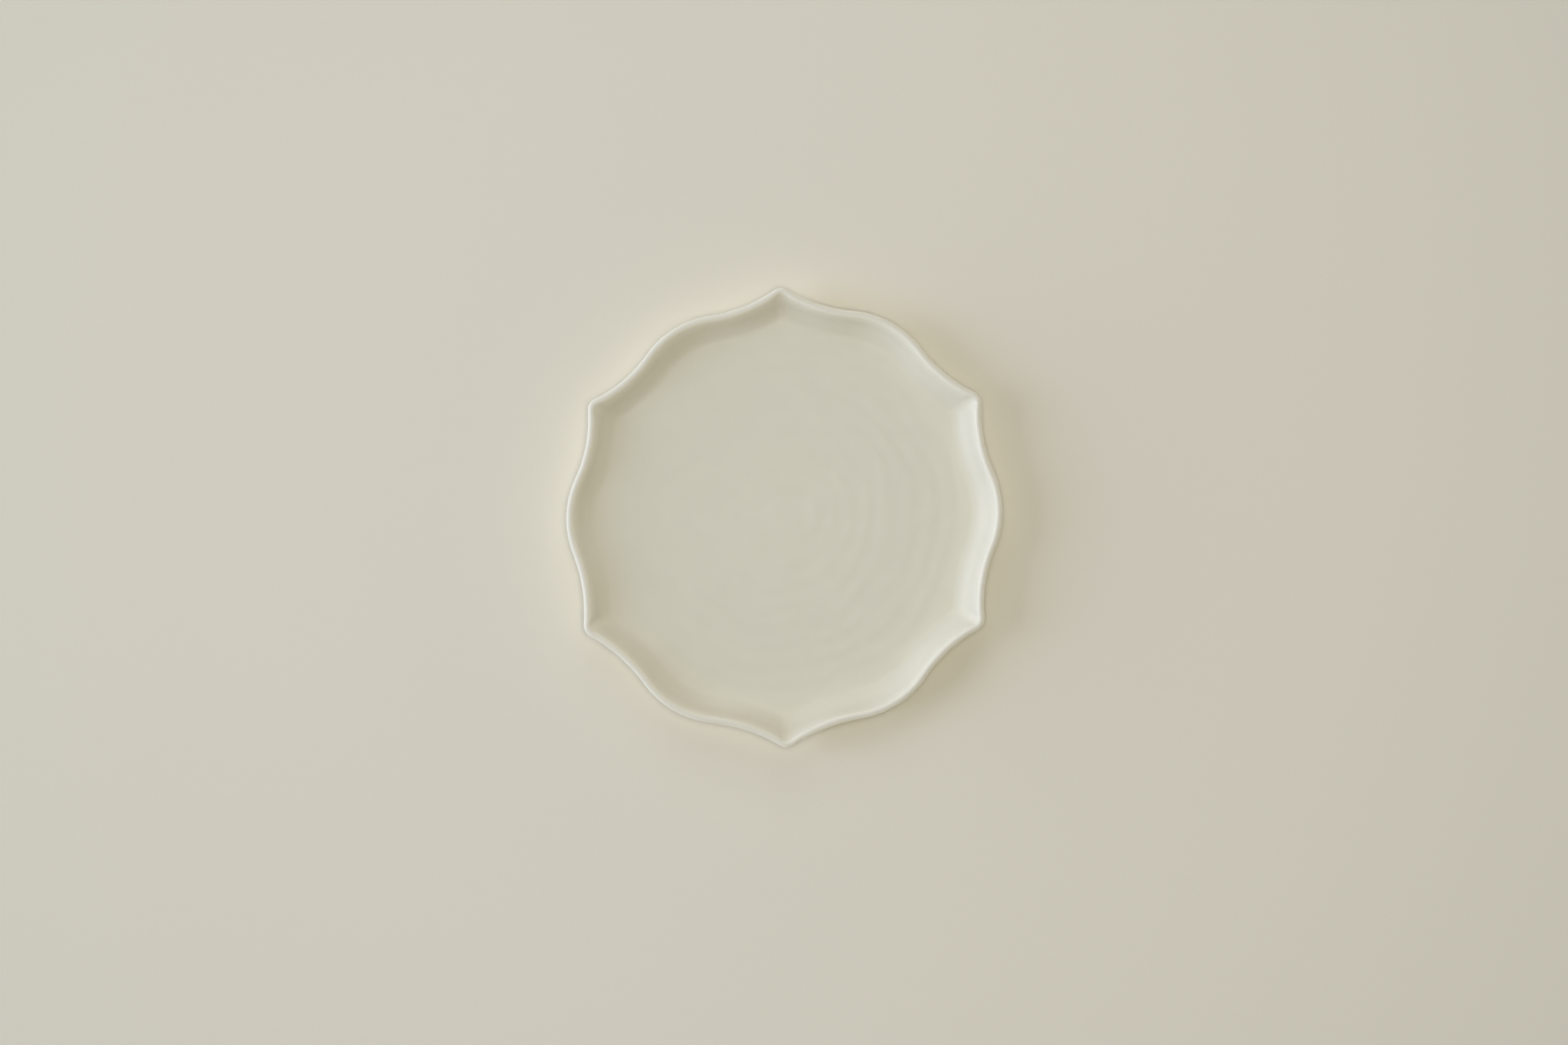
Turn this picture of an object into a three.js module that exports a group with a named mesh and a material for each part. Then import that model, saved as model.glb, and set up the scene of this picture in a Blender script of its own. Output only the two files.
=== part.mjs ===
// A hand-pressed porcelain plate with a foliate rim: round lobes parted by pointed tips.
// It is one sheet of clay bent up into a low wall, standing on a luted foot ring and glazed all over
// except on the standing face. Lengths are in millimetres. +Z is up, the foot stands on z = 0, the
// origin is under the middle of the plate, and two of the tips lie on the Y axis.
import * as THREE from 'three';

// Lip, measured on the glazed plate
const LOBES = 6;
const TIP_REACH = 105;         // centre to the end of a tip
const LOBE_SET_BACK = 3.9;     // how far the crown of a lobe stays behind the tips
const LOBE_ARC = 44;           // radii of the three arcs that run into each other along the lip
const VALLEY_ARC = 70;
const TIP_ARC = 6;
const HEIGHT = 19;

// Wall and cove, measured on the middle of the clay sheet
const LOBE_WALL_RUN = 5.2;     // how far the wall leans out, from the knee to the lip, at a lobe
const TIP_WALL_RUN = 7.8;      // the same at a tip
const KNEE_LOBE_ARC = 52;      // radii of the three arcs along the knee, where wall and floor would meet
const KNEE_VALLEY_ARC = 100;
const KNEE_TIP_ARC = 14;
const COVE = 11;               // bend radius from the floor into the wall

// Marks of the hand and of the firing
const OVAL = 1.3;              // how far the firing drew the rim out along one diameter
const OVAL_DIRECTION = THREE.MathUtils.degToRad(64);
const TIP_DRIFT = THREE.MathUtils.degToRad(1.1);   // how far the tips crept round towards +Y

// Clay sheet and glaze
const SHEET = 2.9;
const GLAZE = 0.3;
const GLAZE_SEAT = 0.05;       // clearance between the glaze and what it covers

// Foot ring and the slip that holds it
const FOOT_SET_IN = 31.8;      // from the knee at a lobe to the middle of the foot ring
const FOOT_HEIGHT = 3;
const FOOT_TOP_WIDTH = 4.4;
const FOOT_FACE_WIDTH = 3;     // across the standing face and its rounded edges
const FOOT_EDGE = 0.5;         // rounding of the standing face
const BARE_FOOT = 1;           // height of the band above the standing face that is left unglazed
const SLIP = 0.8;              // thickness of the slip, and radius of its wiped fillets

// Steps along each curve
const LOBE_STEPS = 3;          // over half a lobe
const VALLEY_STEPS = 3;
const TIP_STEPS = 3;           // over half a tip
const COVE_STEPS = 3;
const LIP_INNER_STEPS = 1;     // from the inside of the wall up to the top of the lip
const LIP_OUTER_STEPS = 2;     // from the top of the lip to its outermost line
const LIP_UNDER_STEPS = 1;     // from there to the outside of the wall
const FILLET_STEPS = 2;
const EDGE_STEPS = 2;

// Sizes that follow from those above
const COAT = GLAZE_SEAT + GLAZE;
const CLAY_HALF = SHEET / 2;
const GLAZED_HALF = CLAY_HALF + COAT;
const UNDERSIDE = FOOT_HEIGHT + SLIP;
const FLOOR_LEVEL = UNDERSIDE + CLAY_HALF;         // middle of the sheet in the floor
const LIP_LEVEL = HEIGHT - GLAZED_HALF;            // middle of the sheet at the lip
const LOBE_REACH = TIP_REACH - LOBE_SET_BACK;
const HALF_PITCH = Math.PI / LOBES;
const KNEE_LOBE_REACH = LOBE_REACH - GLAZED_HALF - LOBE_WALL_RUN;
const KNEE_TIP_REACH = TIP_REACH - GLAZED_HALF - TIP_WALL_RUN;
const FOOT_RADIUS = KNEE_LOBE_REACH - FOOT_SET_IN;

// A closed outline of equal lobes. Three tangent arcs make half a pitch: a lobe arc centred on the ray 0,
// a tip arc centred on the ray half a pitch on, and a valley arc between them, centred outside.
function foliateOutline(lobeReach, lobeArc, tipReach, tipArc, valleyArc) {
  const lobe = new THREE.Vector2(lobeReach - lobeArc, 0);
  const tipRay = new THREE.Vector2(Math.cos(HALF_PITCH), Math.sin(HALF_PITCH));
  const tip = tipRay.multiplyScalar(tipReach - tipArc);
  const along = tip.clone().sub(lobe);
  const apart = along.length();
  const toLobe = lobeArc + valleyArc;
  const toTip = tipArc + valleyArc;
  const foot = (apart * apart + toLobe * toLobe - toTip * toTip) / (2 * apart);
  const rise = Math.sqrt(toLobe * toLobe - foot * foot);
  along.normalize();
  const outward = new THREE.Vector2(along.y, -along.x);
  const valley = lobe.clone().addScaledVector(along, foot).addScaledVector(outward, rise);
  const lobeEnd = lobe.clone().lerp(valley, lobeArc / toLobe).angle();
  const tipStart = tip.clone().lerp(valley, tipArc / toTip).angle();

  // Distance from the origin to a circle along a ray: its far side, or its near side
  function reach(centre, radius, angle, side) {
    const ray = new THREE.Vector2(Math.cos(angle), Math.sin(angle));
    const middle = ray.dot(centre);
    return middle + side * Math.sqrt(middle * middle - centre.lengthSq() + radius * radius);
  }

  function radius(theta) {
    const turned = THREE.MathUtils.euclideanModulo(theta + HALF_PITCH, 2 * HALF_PITCH);
    const folded = Math.abs(turned - HALF_PITCH);
    const drawn = OVAL * Math.cos(2 * (theta - OVAL_DIRECTION));
    if (folded < lobeEnd) return drawn + reach(lobe, lobeArc, folded, 1);
    if (folded < tipStart) return drawn + reach(valley, valleyArc, folded, -1);
    return drawn + reach(tip, tipArc, folded, 1);
  }

  // How much longer a step along the ray is than the same step square to the outline
  function slant(theta) {
    const step = 1e-4;
    const slope = (radius(theta + step) - radius(theta - step)) / (2 * step);
    return Math.hypot(1, slope / radius(theta));
  }

  return { radius, slant, lobeEnd, tipStart };
}

const lip = foliateOutline(LOBE_REACH, LOBE_ARC, TIP_REACH, TIP_ARC, VALLEY_ARC);
const knee = foliateOutline(KNEE_LOBE_REACH, KNEE_LOBE_ARC, KNEE_TIP_REACH, KNEE_TIP_ARC, KNEE_VALLEY_ARC);

// Angles of the sections round the plate, with the same ones for every piece
function stationAngles() {
  const stretches = [
    [0, lip.lobeEnd, LOBE_STEPS],
    [lip.lobeEnd, lip.tipStart, VALLEY_STEPS],
    [lip.tipStart, HALF_PITCH, TIP_STEPS],
  ];
  const half = [];
  for (const [start, end, steps] of stretches) {
    for (let i = 0; i < steps; i++) half.push(start + (end - start) * i / steps);
  }
  const mirrored = half.slice(1).map((angle) => 2 * HALF_PITCH - angle).reverse();
  const pitch = [...half, HALF_PITCH, ...mirrored];
  const angles = [];
  for (let i = 0; i < LOBES; i++) angles.push(...pitch.map((angle) => angle + 2 * HALF_PITCH * i));
  return angles;
}

const STATIONS = stationAngles();

// Points of an arc in a section, from one angle to another
function arc(r, z, radius, start, end, steps, slant = 1) {
  const points = [];
  for (let i = 0; i <= steps; i++) {
    const angle = start + (end - start) * i / steps;
    points.push([r + slant * radius * Math.cos(angle), z + radius * Math.sin(angle)]);
  }
  return points;
}

// One section of the bent sheet at a distance either side of its middle: out along the floor's top, up
// the cove and the inside of the wall, round the lip, down the outside and in to the flat underside.
function sheetSection(theta, half) {
  const lipSlant = lip.slant(theta);
  const kneeSlant = knee.slant(theta);
  const lipRadius = lip.radius(theta) - GLAZED_HALF * lipSlant;
  const kneeRadius = knee.radius(theta);
  const lean = Math.atan2(LIP_LEVEL - FLOOR_LEVEL, lipRadius - kneeRadius);
  const bendRadius = kneeRadius - COVE * Math.tan(lean / 2);
  const bendLevel = FLOOR_LEVEL + COVE;
  const down = -Math.PI / 2;
  const quarter = Math.PI / 2;
  function bend(radius, start, end) {
    const slanted = 1 + (kneeSlant - 1) * (radius - COVE) / radius;
    return arc(bendRadius, bendLevel, radius, start, end, COVE_STEPS, slanted);
  }
  function round(start, end, steps) {
    return arc(lipRadius, LIP_LEVEL, half, start, end, steps, lipSlant);
  }
  return [
    ...bend(COVE - half, down, down + lean),
    ...round(lean + quarter, quarter, LIP_INNER_STEPS),
    ...round(quarter, 0, LIP_OUTER_STEPS).slice(1),
    ...round(0, lean - quarter, LIP_UNDER_STEPS).slice(1),
    ...bend(COVE + half, down + lean, down),
  ];
}

// One side of the foot, from the underside of the body down its fillet of slip and the side of the ring
// to the edge of the bare band. It stands clear of the clay by an offset. Side is 1 outside, -1 inside.
function footSide(side, offset) {
  const top = FOOT_RADIUS + side * FOOT_TOP_WIDTH / 2;
  const share = (FOOT_HEIGHT - BARE_FOOT) / (FOOT_HEIGHT - FOOT_EDGE);
  const taper = share * (FOOT_TOP_WIDTH - FOOT_FACE_WIDTH) / 2;
  const fillet = arc(0, FOOT_HEIGHT, SLIP - offset, Math.PI / 2, Math.PI, FILLET_STEPS);
  return [
    ...fillet.map(([r, z]) => [top + side * (SLIP + r), z]),
    [top + side * (offset - taper), BARE_FOOT],
  ];
}

// A closed solid through one section on every station. A section runs clockwise, seen with the axis on
// its left, and either starts and ends on the axis or closes on itself.
function loft(sectionAt) {
  const positions = [];
  const columns = [];
  for (const theta of STATIONS) {
    const angle = theta + TIP_DRIFT * Math.cos(theta);
    const column = sectionAt(theta).map(([r, z], k) => {
      // Every section shares its points on the axis
      if (r === 0 && columns.length > 0) return columns[0][k];
      positions.push(r * Math.cos(angle), r * Math.sin(angle), z);
      return positions.length / 3 - 1;
    });
    columns.push(column);
  }
  const level = (index) => positions[3 * index + 2];
  const indices = [];
  function triangle(a, b, c) {
    if (a !== b && b !== c && c !== a) indices.push(a, b, c);
  }
  columns.forEach((here, j) => {
    const next = columns[(j + 1) % columns.length];
    here.forEach((corner, k) => {
      const ahead = (k + 1) % here.length;
      // The diagonal leaves the lower corner, so that skins lying one over the other are split alike
      if (level(here[ahead]) > level(corner)) {
        triangle(corner, here[ahead], next[ahead]);
        triangle(corner, next[ahead], next[k]);
      } else {
        triangle(corner, here[ahead], next[k]);
        triangle(here[ahead], next[ahead], next[k]);
      }
    });
  });
  const geometry = new THREE.BufferGeometry();
  geometry.setAttribute('position', new THREE.Float32BufferAttribute(positions, 3));
  geometry.setIndex(indices);
  geometry.computeVertexNormals();
  return geometry;
}

// The pressed sheet of porcelain
function porcelainBody() {
  return loft((theta) => [
    [0, FLOOR_LEVEL + CLAY_HALF],
    ...sheetSection(theta, CLAY_HALF),
    [0, UNDERSIDE],
  ]);
}

// The bead of slip between the body and the foot ring
function lutingSlip() {
  const outside = footSide(1, 0).slice(0, -1);
  const inside = footSide(-1, 0).slice(0, -1).reverse();
  return loft(() => [...outside, ...inside]);
}

// The ring that the plate stands on, with rounded edges to its standing face
function footRing() {
  const top = FOOT_TOP_WIDTH / 2;
  const face = FOOT_FACE_WIDTH / 2 - FOOT_EDGE;
  const edge = arc(face, FOOT_EDGE, FOOT_EDGE, 0, -Math.PI / 2, EDGE_STEPS);
  const outside = [[top, FOOT_HEIGHT], ...edge].map(([r, z]) => [FOOT_RADIUS + r, z]);
  const inside = [...edge.reverse(), [top, FOOT_HEIGHT]].map(([r, z]) => [FOOT_RADIUS - r, z]);
  return loft(() => [...outside, ...inside]);
}

// The glaze over the inside, the lip and the outside, down to the bare band of the foot
function glazeCoat() {
  function surface(theta, offset) {
    const half = CLAY_HALF + offset;
    return [[0, FLOOR_LEVEL + half], ...sheetSection(theta, half), ...footSide(1, offset)];
  }
  return loft((theta) => [...surface(theta, COAT), ...surface(theta, GLAZE_SEAT).reverse()]);
}

// The glaze on the underside, inside the foot ring
function baseGlaze() {
  function surface(offset) {
    return [[0, UNDERSIDE - offset], ...footSide(-1, offset)];
  }
  return loft(() => [...surface(GLAZE_SEAT), ...surface(COAT).reverse()]);
}

function piece(name, geometry, color, roughness) {
  const material = new THREE.MeshStandardMaterial({ color, roughness, metalness: 0 });
  const mesh = new THREE.Mesh(geometry, material);
  mesh.name = name;
  return mesh;
}

const plate = new THREE.Group();
plate.add(
  piece('porcelain_body', porcelainBody(), '#dcd7c8', 0.8),
  piece('luting_slip', lutingSlip(), '#d6d0bf', 0.85),
  piece('foot_ring', footRing(), '#d8d1bf', 0.85),
  piece('glaze_coat', glazeCoat(), '#cbc8b8', 0.35),
  piece('base_glaze', baseGlaze(), '#cbc8b8', 0.35),
);

export default plate;
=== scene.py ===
import math

import bpy
import numpy as np
from mathutils import Euler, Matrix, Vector, noise


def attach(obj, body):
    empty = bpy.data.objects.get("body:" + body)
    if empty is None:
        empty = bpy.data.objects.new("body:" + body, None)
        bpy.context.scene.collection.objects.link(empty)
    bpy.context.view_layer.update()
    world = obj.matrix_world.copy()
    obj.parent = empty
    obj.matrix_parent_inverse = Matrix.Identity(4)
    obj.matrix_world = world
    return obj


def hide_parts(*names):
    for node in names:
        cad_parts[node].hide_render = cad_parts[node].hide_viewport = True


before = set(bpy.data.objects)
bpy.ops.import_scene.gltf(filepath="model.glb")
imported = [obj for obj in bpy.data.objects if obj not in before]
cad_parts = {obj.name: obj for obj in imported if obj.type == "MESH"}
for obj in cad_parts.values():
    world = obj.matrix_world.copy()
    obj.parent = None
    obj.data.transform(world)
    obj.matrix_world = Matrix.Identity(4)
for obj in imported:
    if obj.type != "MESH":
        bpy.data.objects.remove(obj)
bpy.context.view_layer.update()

MM = 0.001

# Lip of the glazed plate: three arcs run into each other between the crown of a lobe and a tip
LOBES = 6
TIP_REACH = 105 * MM
LOBE_REACH = 101.1 * MM
LOBE_ARC = 44 * MM
VALLEY_ARC = 70 * MM
TIP_ARC = 6 * MM
HEIGHT = 19 * MM

# Knee, where the middles of the wall and of the floor would meet
KNEE_LOBE_REACH = 94.1 * MM
KNEE_TIP_REACH = 95.4 * MM
KNEE_LOBE_ARC = 52 * MM
KNEE_VALLEY_ARC = 100 * MM
KNEE_TIP_ARC = 14 * MM
COVE = 11 * MM

# Marks of the hand and of the firing
OVAL = 1.3 * MM
OVAL_DIRECTION = math.radians(64)
TIP_DRIFT = math.radians(1.1)
UNEVEN_DEPTH = 0.12 * MM        # how far the surface sinks at most below the true form
UNEVEN_SPAN = 34 * MM           # from one hollow to the next
TOOL_LINES = (0.02, 0.30, 0.56)  # where the rib left a line on the wall, as shares of the way up it
TOOL_LINE_DEPTH = 0.05 * MM
TOOL_LINE_WIDTH = 0.05          # as a share of the way up the wall
TOOL_LINE_SPAN = 60 * MM        # how far a line runs before it fades

# Sheet, glaze and foot
CLAY_HALF = 1.45 * MM
GLAZE_SEAT = 0.05 * MM
COAT = 0.35 * MM
GLAZED_HALF = CLAY_HALF + COAT
FOOT_RADIUS = 62.3 * MM
FOOT_HEIGHT = 3 * MM
FOOT_TOP_WIDTH = 4.4 * MM
FOOT_FACE_WIDTH = 3 * MM
FOOT_EDGE = 0.5 * MM
BARE_FOOT = 1 * MM
SLIP = 0.8 * MM
UNDERSIDE = FOOT_HEIGHT + SLIP
FLOOR_LEVEL = UNDERSIDE + CLAY_HALF
LIP_LEVEL = HEIGHT - GLAZED_HALF
HALF_PITCH = math.pi / LOBES

# Steps along each curve
LOBE_STEPS = 14
VALLEY_STEPS = 14
TIP_STEPS = 12
FLOOR_STEPS = 22
COVE_STEPS = 14
WALL_STEPS = 40
LIP_STEPS = 20
OUTSIDE_STEPS = 8
FILLET_STEPS = 6
EDGE_STEPS = 6

# Colours, linear
GLAZE_THIN = (0.566, 0.552, 0.469, 1)
GLAZE_POOLED = (0.570, 0.550, 0.448, 1)
BISQUE = (0.690, 0.655, 0.555, 1)
BISQUE_WORN = (0.610, 0.570, 0.470, 1)
PAPER = (0.651, 0.620, 0.520, 1)
PAPER_FIBRE = (0.663, 0.633, 0.534, 1)

# Turning rings in the glaze
RING_SCALE = 35                 # in the wave texture's own units: about 9 mm from ring to ring
RING_DISTORTION = 5
RING_HEIGHT = 3                 # as a multiple of the glaze's fine grain

# Lamps: azimuth and elevation in degrees as the plate sees them, distance, width and height in metres,
# and the red, green and blue light that each gives on the ground by the plate
LAMPS = {
    "ceiling": (0, 89, 1.4, 0.4, 0.4, (0.535, 0.512, 0.450)),
    "window": (180, 31, 3.0, 1.65, 1.65, (0.198, 0.220, 0.286)),
    "wall": (90, 40, 4.0, 2.4, 2.4, (0.121, 0.125, 0.140)),
}
# Glows low in the room: the sine of the elevation where each ends, how far left it starts, or None for
# all round, and its red, green and blue. The room is seen, and mirrored, as one pale colour
GLOWS = (
    (0.27, None, (5.6, 5.2, 4.55)),
    (0.40, 0.80, (3.8, 4.7, 6.5)),
)
ROOM_SEEN = (0.60, 0.57, 0.50, 1)
GROUND = 12                     # from the middle of the ground to its edge

# Picture
IMAGE_SIZE = (2048, 1365)
LENS_MM = 50
SENSOR_MM = 36
PLATE_AT = (1024.6, 676)        # where the middle of the plate falls in the picture, in pixels
TIP_REACH_SHOWN = 298.5         # a tip's distance from there
PLATE_TURN = math.radians(0.75)


def foliate_outline(lobe_reach, lobe_arc, tip_reach, tip_arc, valley_arc):
    """Equal lobes parted by tips. Gives the radius at an angle and the angles where the arcs meet."""
    lobe = np.array([lobe_reach - lobe_arc, 0])
    tip = (tip_reach - tip_arc) * np.array([math.cos(HALF_PITCH), math.sin(HALF_PITCH)])
    along = tip - lobe
    apart = np.linalg.norm(along)
    to_lobe = lobe_arc + valley_arc
    to_tip = tip_arc + valley_arc
    foot = (apart**2 + to_lobe**2 - to_tip**2) / (2 * apart)
    rise = math.sqrt(to_lobe**2 - foot**2)
    outward = np.array([along[1], -along[0]])
    valley = lobe + (along * foot + outward * rise) / apart
    lobe_meets = lobe + (valley - lobe) * lobe_arc / to_lobe
    tip_meets = tip + (valley - tip) * tip_arc / to_tip
    lobe_end = math.atan2(lobe_meets[1], lobe_meets[0])
    tip_start = math.atan2(tip_meets[1], tip_meets[0])

    def reach(centre, radius, angle, side):
        middle = centre[0] * np.cos(angle) + centre[1] * np.sin(angle)
        inside = middle**2 - centre @ centre + radius**2
        return middle + side * np.sqrt(np.maximum(inside, 0))

    def radius(theta):
        folded = np.abs(np.mod(theta + HALF_PITCH, 2 * HALF_PITCH) - HALF_PITCH)
        outer = np.where(folded < tip_start, reach(valley, valley_arc, folded, -1),
                         reach(tip, tip_arc, folded, 1))
        plain = np.where(folded < lobe_end, reach(lobe, lobe_arc, folded, 1), outer)
        return plain + OVAL * np.cos(2 * (theta - OVAL_DIRECTION))

    return radius, lobe_end, tip_start


lip_radius_at, LOBE_END, TIP_START = foliate_outline(LOBE_REACH, LOBE_ARC, TIP_REACH, TIP_ARC, VALLEY_ARC)
knee_radius_at = foliate_outline(KNEE_LOBE_REACH, KNEE_LOBE_ARC, KNEE_TIP_REACH, KNEE_TIP_ARC,
                                 KNEE_VALLEY_ARC)[0]


def station_angles():
    """Angles of the sections round the plate."""
    half = np.concatenate([
        np.linspace(0, LOBE_END, LOBE_STEPS, endpoint=False),
        np.linspace(LOBE_END, TIP_START, VALLEY_STEPS, endpoint=False),
        np.linspace(TIP_START, HALF_PITCH, TIP_STEPS, endpoint=False),
    ])
    pitch = np.concatenate([half, [HALF_PITCH], (2 * HALF_PITCH - half[1:])[::-1]])
    return np.concatenate([pitch + 2 * HALF_PITCH * i for i in range(LOBES)])


THETA = station_angles()


def slant(radius_at):
    """How much longer a step along the ray is than the same step square to the outline."""
    step = 1e-4
    slope = (radius_at(THETA + step) - radius_at(THETA - step)) / (2 * step)
    return np.hypot(1, slope / radius_at(THETA))


LIP_SLANT = slant(lip_radius_at)
KNEE_SLANT = slant(knee_radius_at)
LIP_RADIUS = lip_radius_at(THETA) - GLAZED_HALF * LIP_SLANT
KNEE_RADIUS = knee_radius_at(THETA)
LEAN = np.arctan2(LIP_LEVEL - FLOOR_LEVEL, LIP_RADIUS - KNEE_RADIUS)


def section(r, z):
    """Section points, one row for each station, from radii and levels that broadcast to them."""
    shape = np.broadcast_shapes((len(THETA), 1), np.shape(r), np.shape(z))
    return np.stack([np.broadcast_to(r, shape), np.broadcast_to(z, shape)], axis=-1)


def arc(r, z, radius, start, end, steps, stretch=1.0):
    """Points of an arc in every section. Angles are in the section's plane, from its radius upwards."""
    share = np.linspace(0, 1, steps + 1)[None, :]
    start = np.reshape(start, (-1, 1))
    end = np.reshape(end, (-1, 1))
    angle = start + (end - start) * share
    across = np.reshape(stretch, (-1, 1)) * radius * np.cos(angle)
    return section(np.reshape(r, (-1, 1)) + across, np.reshape(z, (-1, 1)) + radius * np.sin(angle))


def line(start, end, steps):
    """Points between two neighbouring curves of a section, both ends left out."""
    share = (np.arange(1, steps) / steps)[None, :, None]
    return start[:, None, :] + (end - start)[:, None, :] * share


def cove(half_thickness, inside):
    """The bend from floor to wall, on the inside of the sheet or on its outside."""
    radius = COVE - half_thickness if inside else COVE + half_thickness
    stretch = 1 + (KNEE_SLANT - 1) * (radius - COVE) / radius
    bend_radius = KNEE_RADIUS - COVE * np.tan(LEAN / 2)
    down = np.full(len(THETA), -math.pi / 2)
    rise = arc(bend_radius, FLOOR_LEVEL + COVE, radius, down, down + LEAN, COVE_STEPS, stretch)
    return rise if inside else rise[:, ::-1]


def rounded_lip(half_thickness):
    quarter = math.pi / 2
    return arc(LIP_RADIUS, LIP_LEVEL, half_thickness, LEAN + quarter, LEAN - quarter, LIP_STEPS, LIP_SLANT)


def foot_side(side, offset):
    """The foot from the underside of the body down to its bare band. Side is 1 outside, -1 inside."""
    top = FOOT_RADIUS + side * FOOT_TOP_WIDTH / 2
    share = (FOOT_HEIGHT - BARE_FOOT) / (FOOT_HEIGHT - FOOT_EDGE)
    taper = share * (FOOT_TOP_WIDTH - FOOT_FACE_WIDTH) / 2
    angle = np.linspace(math.pi / 2, math.pi, FILLET_STEPS + 1)
    fillet_r = top + side * (SLIP + (SLIP - offset) * np.cos(angle))
    fillet_z = FOOT_HEIGHT + (SLIP - offset) * np.sin(angle)
    r = np.append(fillet_r, top + side * (offset - taper))
    z = np.append(fillet_z, BARE_FOOT)
    return section(r[None, :], z[None, :])


def axis_point(level):
    return section(np.zeros((1, 1)), np.full((1, 1), level))


def sheet_surface(half_thickness, end):
    """The skin of the bent sheet, from the middle of the floor over the lip to an end underneath."""
    middle = axis_point(FLOOR_LEVEL + half_thickness)
    inner = cove(half_thickness, True)
    rim = rounded_lip(half_thickness)
    outer = cove(half_thickness, False)
    return np.concatenate([
        middle, line(middle[:, 0], inner[:, 0], FLOOR_STEPS),
        inner, line(inner[:, -1], rim[:, 0], WALL_STEPS),
        rim, line(rim[:, -1], outer[:, 0], OUTSIDE_STEPS),
        outer, line(outer[:, -1], end[:, 0], OUTSIDE_STEPS), end,
    ], axis=1)


def placed(points):
    """Section points as points in space."""
    angle = (THETA + TIP_DRIFT * np.cos(THETA))[:, None]
    r = points[..., 0]
    return np.stack([r * np.cos(angle), r * np.sin(angle), points[..., 1]], axis=-1)


def outward_normals(grid):
    """Unit normals of a grid of points, sections first, pointing out of the surface."""
    along = np.gradient(grid, axis=1)
    round_about = np.roll(grid, -1, axis=0) - np.roll(grid, 1, axis=0)
    normal = np.cross(round_about, along)
    normal /= np.maximum(np.linalg.norm(normal, axis=-1, keepdims=True), 1e-12)
    return -normal


def unevenness(grid):
    """How far each point of the glaze sinks below the true form, from the hand and from the kiln."""
    flat = grid.reshape(-1, 3) / UNEVEN_SPAN
    waves = np.array([noise.noise(Vector(point)) for point in flat])
    return UNEVEN_DEPTH * (0.5 + 0.5 * np.clip(waves, -1, 1)).reshape(grid.shape[:2])


def tool_lines(grid):
    """How deep the rib cut into each point of the inner wall. The lines fade in and out on their way."""
    first = 1 + (FLOOR_STEPS - 1) + COVE_STEPS
    wall = slice(first, first + WALL_STEPS + 1)
    share = np.linspace(0, 1, WALL_STEPS + 1)
    depth = np.zeros(grid.shape[:2])
    for number, place in enumerate(TOOL_LINES):
        route = grid[:, first] / TOOL_LINE_SPAN + number
        fade = np.array([noise.noise(Vector(point)) for point in route])
        groove = np.exp(-((share - place) / TOOL_LINE_WIDTH) ** 2)
        depth[:, wall] += TOOL_LINE_DEPTH * np.clip(0.5 + fade, 0, 1)[:, None] * groove
    return depth


def make_mesh(name, grid, closed_section):
    """A piece through a grid of points, sections first. A point on the axis is shared by all sections."""
    stations, count = grid.shape[:2]
    index = np.arange(stations * count).reshape(stations, count)
    on_axis = np.all(np.abs(grid[..., :2]) < 1e-9, axis=(0, 2))
    index[:, on_axis] = index[0, on_axis]
    ahead = np.roll(index, -1, axis=1) if closed_section else index[:, 1:]
    here = index if closed_section else index[:, :-1]
    next_here = np.roll(here, -1, axis=0)
    next_ahead = np.roll(ahead, -1, axis=0)
    corners = np.stack([here, ahead, next_ahead, next_here], axis=-1).reshape(-1, 4)
    faces = [list(dict.fromkeys(face)) for face in corners.tolist()]
    faces = [face for face in faces if len(face) > 2]
    used = np.unique(index)
    renumber = np.full(stations * count, -1)
    renumber[used] = np.arange(len(used))
    mesh = bpy.data.meshes.new(name)
    mesh.from_pydata(grid.reshape(-1, 3)[used].tolist(), [], [[renumber[i] for i in face] for face in faces])
    mesh.validate()
    mesh.shade_smooth()
    mesh.set_sharp_from_angle(angle=math.radians(40))
    piece = bpy.data.objects.new(name, mesh)
    bpy.context.scene.collection.objects.link(piece)
    return piece, used


def add_piece(name, node, grid, material, closed_section=True):
    piece, used = make_mesh(name, grid, closed_section)
    piece.data.materials.append(material)
    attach(piece, "root")
    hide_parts(node)
    return piece, used


def glaze_pool(section_points):
    """Share of full thickness that the glaze has: least on the lip, most in the cove and by the foot."""
    z = section_points[..., 1]
    height = np.clip((z - FLOOR_LEVEL) / (LIP_LEVEL - FLOOR_LEVEL), 0, 1)
    return 1 - height**1.5


def make_glaze_coat(material):
    end = foot_side(1, COAT)
    outer = sheet_surface(CLAY_HALF + COAT, end)
    inner = sheet_surface(CLAY_HALF + GLAZE_SEAT, foot_side(1, GLAZE_SEAT))
    outer_grid = placed(outer)
    sink = unevenness(outer_grid) + tool_lines(outer_grid)
    sink[:, -(end.shape[1] + 1):] = 0
    outer_grid = outer_grid - outward_normals(outer_grid) * sink[..., None]
    grid = np.concatenate([outer_grid, placed(inner)[:, ::-1]], axis=1)
    piece, used = add_piece("plate_glaze", "glaze_coat", grid, material)
    pool = np.concatenate([glaze_pool(outer), glaze_pool(inner)[:, ::-1]], axis=1)
    layer = piece.data.attributes.new("glaze_pool", "FLOAT", "POINT")
    layer.data.foreach_set("value", pool.reshape(-1)[used].astype(np.float32))


def make_base_glaze(material):
    def surface(offset):
        middle = axis_point(UNDERSIDE - offset)
        side = foot_side(-1, offset)
        return np.concatenate([middle, line(middle[:, 0], side[:, 0], FLOOR_STEPS), side], axis=1)

    points = np.concatenate([surface(GLAZE_SEAT), surface(COAT)[:, ::-1]], axis=1)
    piece, used = add_piece("plate_base_glaze", "base_glaze", placed(points), material)
    layer = piece.data.attributes.new("glaze_pool", "FLOAT", "POINT")
    layer.data.foreach_set("value", np.ones(len(used), dtype=np.float32))


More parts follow.
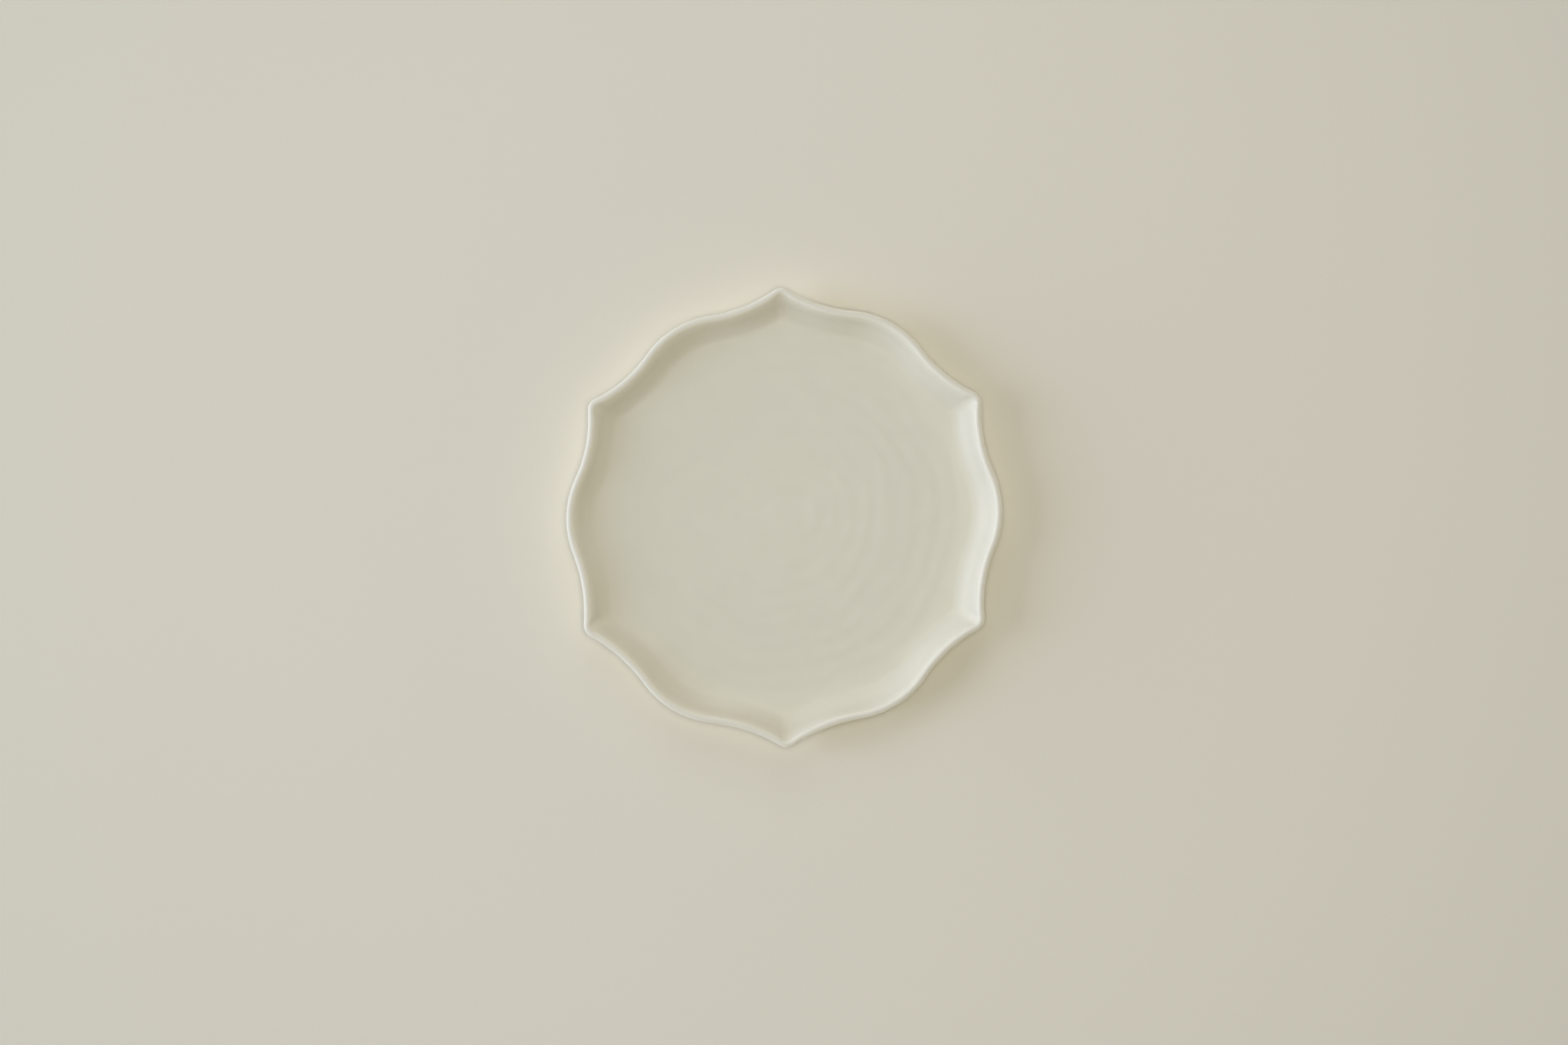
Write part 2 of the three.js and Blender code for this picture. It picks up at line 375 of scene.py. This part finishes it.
def make_body(material):
    points = sheet_surface(CLAY_HALF, axis_point(UNDERSIDE))
    add_piece("plate_body", "porcelain_body", placed(points), material)


def make_slip(material):
    outside = foot_side(1, 0)[:, :-1]
    inside = foot_side(-1, 0)[:, :-1]
    points = np.concatenate([outside, inside[:, ::-1]], axis=1)
    add_piece("plate_slip", "luting_slip", placed(points), material)


def make_foot(material):
    top = FOOT_TOP_WIDTH / 2
    face = FOOT_FACE_WIDTH / 2 - FOOT_EDGE
    angle = np.linspace(0, -math.pi / 2, EDGE_STEPS + 1)
    r = np.concatenate([[top], face + FOOT_EDGE * np.cos(angle)])
    z = np.concatenate([[FOOT_HEIGHT], FOOT_EDGE + FOOT_EDGE * np.sin(angle)])
    radii = np.concatenate([FOOT_RADIUS + r, (FOOT_RADIUS - r)[::-1]])
    levels = np.concatenate([z, z[::-1]])
    points = section(radii[None, :], levels[None, :])
    add_piece("plate_foot", "foot_ring", placed(points), material)


def node_helpers(tree):
    """A helper that adds a node and sets its plain inputs, and one that links two sockets."""
    def add(kind, **inputs):
        node = tree.nodes.new(kind)
        for socket, value in inputs.items():
            node.inputs[socket.replace("_", " ")].default_value = value
        return node

    return add, tree.links.new


def new_material(name):
    """An empty Principled material and the helpers for its nodes."""
    material = bpy.data.materials.new(name)
    material.use_nodes = True
    shader = material.node_tree.nodes["Principled BSDF"]
    return material, shader, *node_helpers(material.node_tree)


def feed(link, value, socket):
    """Links a socket to another node's output, or sets it to a plain value."""
    if isinstance(value, bpy.types.NodeSocket):
        link(value, socket)
    else:
        socket.default_value = value


def maths(add, link, operation, *values):
    """The result of a maths node on its values."""
    node = add("ShaderNodeMath")
    node.operation = operation
    for value, socket in zip(values, node.inputs):
        feed(link, value, socket)
    return node.outputs["Value"]


def mixed_colour(add, link, amount, low, high):
    """Colour that goes from low to high as a share does."""
    mix = add("ShaderNodeMix")
    mix.data_type = "RGBA"
    first, second = [socket for socket in mix.inputs if socket.type == "RGBA"]
    feed(link, low, first)
    feed(link, high, second)
    link(amount, mix.inputs["Factor"])
    return next(socket for socket in mix.outputs if socket.type == "RGBA")


def ranged(add, link, value, low, high):
    """A value from 0 to 1 spread over another range."""
    spread = add("ShaderNodeMapRange", To_Min=low, To_Max=high)
    link(value, spread.inputs["Value"])
    return spread.outputs["Result"]


def grain(add, link, scale, detail):
    """Fractal noise over the object, in turns for each metre."""
    where = add("ShaderNodeTexCoord")
    speckle = add("ShaderNodeTexNoise", Scale=scale, Detail=detail)
    link(where.outputs["Object"], speckle.inputs["Vector"])
    return speckle.outputs["Fac"]


def turning(add, link):
    """Faint broken rings about the plate's axis, left by smoothing the floor."""
    where = add("ShaderNodeTexCoord")
    rings = add("ShaderNodeTexWave", Scale=RING_SCALE, Distortion=RING_DISTORTION, Detail=2)
    rings.wave_type = "RINGS"
    rings.rings_direction = "Z"
    link(where.outputs["Object"], rings.inputs["Vector"])
    return rings.outputs["Fac"]


def relief(add, link, shader, height, depth, strength):
    bump = add("ShaderNodeBump", Distance=depth, Strength=strength)
    link(height, bump.inputs["Height"])
    link(bump.outputs["Normal"], shader.inputs["Normal"])


def glaze_material():
    """Cream satin glaze: a little paler and thinner over the lip, with faint clouds where it pooled."""
    material, shader, add, link = new_material("cream_satin_glaze")
    thickness = add("ShaderNodeAttribute")
    thickness.attribute_name = "glaze_pool"
    clouds = ranged(add, link, grain(add, link, 45, 3), -0.25, 0.25)
    cover = add("ShaderNodeMath")
    cover.operation = "ADD"
    cover.use_clamp = True
    link(thickness.outputs["Fac"], cover.inputs[0])
    link(clouds, cover.inputs[1])
    colour = mixed_colour(add, link, cover.outputs["Value"], GLAZE_THIN, GLAZE_POOLED)
    link(colour, shader.inputs["Base Color"])
    link(ranged(add, link, grain(add, link, 120, 4), 0.46, 0.58), shader.inputs["Roughness"])
    rings = ranged(add, link, turning(add, link), 0, RING_HEIGHT)
    surface = maths(add, link, "ADD", grain(add, link, 420, 2), rings)
    relief(add, link, shader, surface, 0.03 * MM, 0.6)
    return material


def bisque_material(name, paler, darker, scale):
    """Fired clay without glaze: fine grain, darker where it has rubbed."""
    material, shader, add, link = new_material(name)
    wear = ranged(add, link, grain(add, link, scale, 6), -0.6, 1.6)
    link(mixed_colour(add, link, wear, paler, darker), shader.inputs["Base Color"])
    link(ranged(add, link, grain(add, link, 6 * scale, 3), 0.75, 0.95), shader.inputs["Roughness"])
    relief(add, link, shader, grain(add, link, 20 * scale, 4), 0.08 * MM, 0.7)
    return material


def paper_material():
    """Plain warm paper with a very faint fibre."""
    material, shader, add, link = new_material("pale_paper")
    link(mixed_colour(add, link, grain(add, link, 900, 3), PAPER, PAPER_FIBRE), shader.inputs["Base Color"])
    shader.inputs["Roughness"].default_value = 0.9
    shader.inputs["Specular IOR Level"].default_value = 0.2
    return material


def make_ground():
    mesh = bpy.data.meshes.new("ground")
    corners = [(-GROUND, -GROUND, 0), (GROUND, -GROUND, 0), (GROUND, GROUND, 0), (-GROUND, GROUND, 0)]
    mesh.from_pydata(corners, [], [(0, 1, 2, 3)])
    mesh.materials.append(paper_material())
    ground = bpy.data.objects.new("ground", mesh)
    bpy.context.scene.collection.objects.link(ground)


def add_softbox(name, azimuth, elevation, distance, width, height, light):
    """A lamp aimed at the plate, set by the light that it gives on the ground there."""
    azimuth, elevation = math.radians(azimuth), math.radians(elevation)
    level = max(light)
    lamp = bpy.data.lights.new(name, "AREA")
    lamp.shape = "RECTANGLE"
    lamp.size = width
    lamp.size_y = height
    lamp.energy = math.pi**2 * level * distance**2 / math.sin(elevation)
    lamp.color = [share / level for share in light]
    holder = bpy.data.objects.new(name, lamp)
    flat = distance * math.cos(elevation)
    holder.location = (flat * math.cos(azimuth), flat * math.sin(azimuth), distance * math.sin(elevation))
    holder.rotation_euler = Vector(holder.location).to_track_quat("Z", "Y").to_euler()
    bpy.context.scene.collection.objects.link(holder)


def faded(add, link, value, start, end, low, high):
    """A value that goes smoothly from low to high between two limits."""
    fade = add("ShaderNodeMapRange", From_Min=start, From_Max=end, To_Min=low, To_Max=high)
    fade.interpolation_type = "SMOOTHSTEP"
    link(value, fade.inputs["Value"])
    return fade.outputs["Result"]


def glow(add, link, way, top, left_from, colour):
    """Light from low in the room that fades to nothing at a sine of elevation, all round or from the left."""
    height = maths(add, link, "ABSOLUTE", way.outputs["Z"])
    share = faded(add, link, height, 0, top, 1, 0)
    if left_from is not None:
        side = faded(add, link, way.outputs["X"], -left_from, -1, 0, 1)
        share = maths(add, link, "MULTIPLY", share, side)
    lit = add("ShaderNodeVectorMath")
    lit.operation = "SCALE"
    lit.inputs[0].default_value = colour
    link(share, lit.inputs["Scale"])
    return lit.outputs["Vector"]


def make_room():
    """A pale plain room to look at and to be mirrored; what lights the plate glows low down in it."""
    world = bpy.data.worlds.new("soft_room")
    world.use_nodes = True
    add, link = node_helpers(world.node_tree)
    where = add("ShaderNodeTexCoord")
    way = add("ShaderNodeSeparateXYZ")
    link(where.outputs["Generated"], way.inputs["Vector"])
    both = add("ShaderNodeVectorMath")
    for place, socket in zip(GLOWS, both.inputs):
        link(glow(add, link, way, *place), socket)
    path = add("ShaderNodeLightPath")
    mirrored = maths(add, link, "MAXIMUM", path.outputs["Is Glossy Ray"], path.outputs["Is Transmission Ray"])
    shown = maths(add, link, "MAXIMUM", path.outputs["Is Camera Ray"], mirrored)
    colour = mixed_colour(add, link, shown, both.outputs["Vector"], ROOM_SEEN)
    link(colour, world.node_tree.nodes["Background"].inputs["Color"])
    bpy.context.scene.world = world


def make_light():
    make_room()
    for name, place in LAMPS.items():
        add_softbox(name, *place)


def make_camera():
    """Straight down, at the height and place that put the plate where the picture has it."""
    focal = LENS_MM / SENSOR_MM * IMAGE_SIZE[0]
    metre = TIP_REACH_SHOWN / TIP_REACH
    aside = (PLATE_AT[0] - IMAGE_SIZE[0] / 2) / metre
    above = (IMAGE_SIZE[1] / 2 - PLATE_AT[1]) / metre
    camera = bpy.data.cameras.new("camera")
    camera.lens = LENS_MM
    camera.sensor_width = SENSOR_MM
    holder = bpy.data.objects.new("camera", camera)
    place = Vector((-aside, -above, LIP_LEVEL + focal / metre))
    place.rotate(Euler((0, 0, -PLATE_TURN)))
    holder.location = place
    holder.rotation_euler = (0, 0, -PLATE_TURN)
    bpy.context.scene.collection.objects.link(holder)
    bpy.context.scene.camera = holder


glaze = glaze_material()
bare_clay = bisque_material("bisque_under_glaze", BISQUE, BISQUE_WORN, 90)
slip_clay = bisque_material("wiped_slip", BISQUE, BISQUE_WORN, 140)
foot_clay = bisque_material("rubbed_bare_foot", BISQUE, BISQUE_WORN, 60)
make_body(bare_clay)
make_slip(slip_clay)
make_foot(foot_clay)
make_glaze_coat(glaze)
make_base_glaze(glaze)
make_ground()
make_light()
make_camera()
bpy.context.scene.view_settings.view_transform = "Standard"
